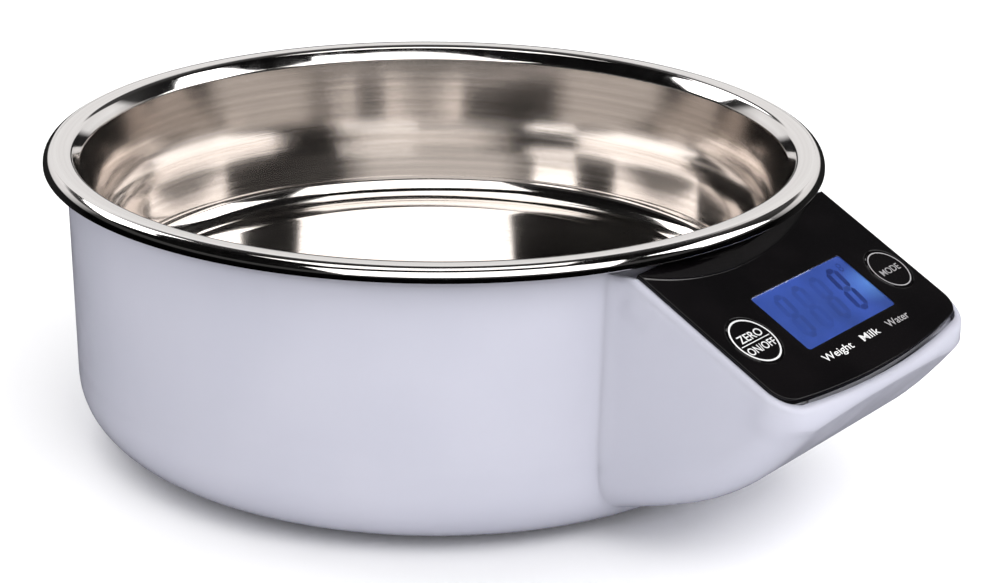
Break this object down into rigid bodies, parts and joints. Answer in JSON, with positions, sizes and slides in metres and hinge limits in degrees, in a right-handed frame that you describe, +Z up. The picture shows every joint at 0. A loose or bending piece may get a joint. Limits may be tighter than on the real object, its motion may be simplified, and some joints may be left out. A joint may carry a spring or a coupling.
{
  "type": "kitchen scale",
  "caption": "Electronic weighing bowl: a lift-out round steel bowl with a rolled rim in a white moulded housing with a sloping display pod.",
  "frame": {"origin": "under the middle of the whole object, on the plane that the rubber feet stand on", "axes": "+Y from the display pod's tip towards the back of the bowl, +Z up, +X to the right for a person reading the display"},
  "size_m": [0.216, 0.2566, 0.082],
  "materials": {
    "bowl_steel": "circumferentially brushed inside, polished rim",
    "housing_white": "glossy cool white moulding",
    "inner_plastic": "fine matt moulding",
    "lens_black": "back-printed gloss black with white markings",
    "rubber_grey": "matt rubber",
    "silicone": "satin silicone",
    "adhesive": "thin adhesive film",
    "cell_aluminium": "machined",
    "screw_steel": "zinc plated",
    "spring_nickel": "nickel plated",
    "battery_jacket": "plain printed sleeve",
    "board_green": "solder mask",
    "chip_epoxy": "black epoxy",
    "switch_plunger": "satin",
    "lcd_blue": "blue backlit display",
    "light_guide": "diffusing light guide",
    "bezel_black": "fine matt moulding",
    "wire_jacket": "satin PVC jacket"
  },
  "bodies": {
    "base": {"backlight_guide": "light_guide", "battery_1": "battery_jacket", "battery_2": "battery_jacket", "battery_lead": "wire_jacket", "battery_spring_1": "spring_nickel", "battery_spring_2": "spring_nickel", "board_screws": "screw_steel", "bottom_cover": "housing_white", "circuit_board": "board_green", "contact_plates": "spring_nickel", "controller_chip": "chip_epoxy", "cover_screws": "screw_steel", "display_lens": "lens_black", "foot_front_left": "rubber_grey", "foot_front_right": "rubber_grey", "foot_rear_left": "rubber_grey", "foot_rear_right": "rubber_grey", "gauge_coating": "silicone", "lcd_bezel": "bezel_black", "lcd_glass": "lcd_blue", "lens_adhesive": "adhesive", "load_cell": "cell_aluminium", "load_cell_screws": "screw_steel", "main_housing": "housing_white", "mode_switch": "chip_epoxy", "panel_frame": "inner_plastic", "panel_screws": "screw_steel", "sensor_cable": "wire_jacket", "zebra_strips": "silicone", "zero_switch": "chip_epoxy"},
    "platform": {"weigh_platform": "inner_plastic", "platform_screws": "screw_steel", "seat_ring": "silicone"},
    "bowl": {"steel_bowl": "bowl_steel"},
    "zero_button": {"zero_key": "lens_black", "zero_switch_actuator": "switch_plunger"},
    "mode_button": {"mode_key": "lens_black", "mode_switch_actuator": "switch_plunger"},
    "door": {"battery_door": "housing_white"}
  },
  "joints": [
    {"name": "platform_sink", "type": "slide", "parent": "base", "child": "platform", "axis": [0, 0, 1], "range_m": [-0.0004, 0], "stiffness_N_per_m": 75000, "deforming": ["load_cell", "gauge_coating"]},
    {"name": "bowl_lift", "type": "slide", "parent": "platform", "child": "bowl", "axis": [0, 0, 1], "range_m": [0, 0.12]},
    {"name": "zero_key_press", "type": "slide", "parent": "base", "child": "zero_button", "axis": [0, 0.4586, -0.8886], "range_m": [0, 0.0003], "stiffness_N_per_m": 5000},
    {"name": "mode_key_press", "type": "slide", "parent": "base", "child": "mode_button", "axis": [0, 0.4586, -0.8886], "range_m": [0, 0.0003], "stiffness_N_per_m": 5000},
    {"name": "battery_door_tilt", "type": "hinge", "parent": "base", "child": "door", "pos_m": [0, 0.07755, 0.002], "axis": [1, 0, 0], "range_deg": [0, 95]}
  ]
}
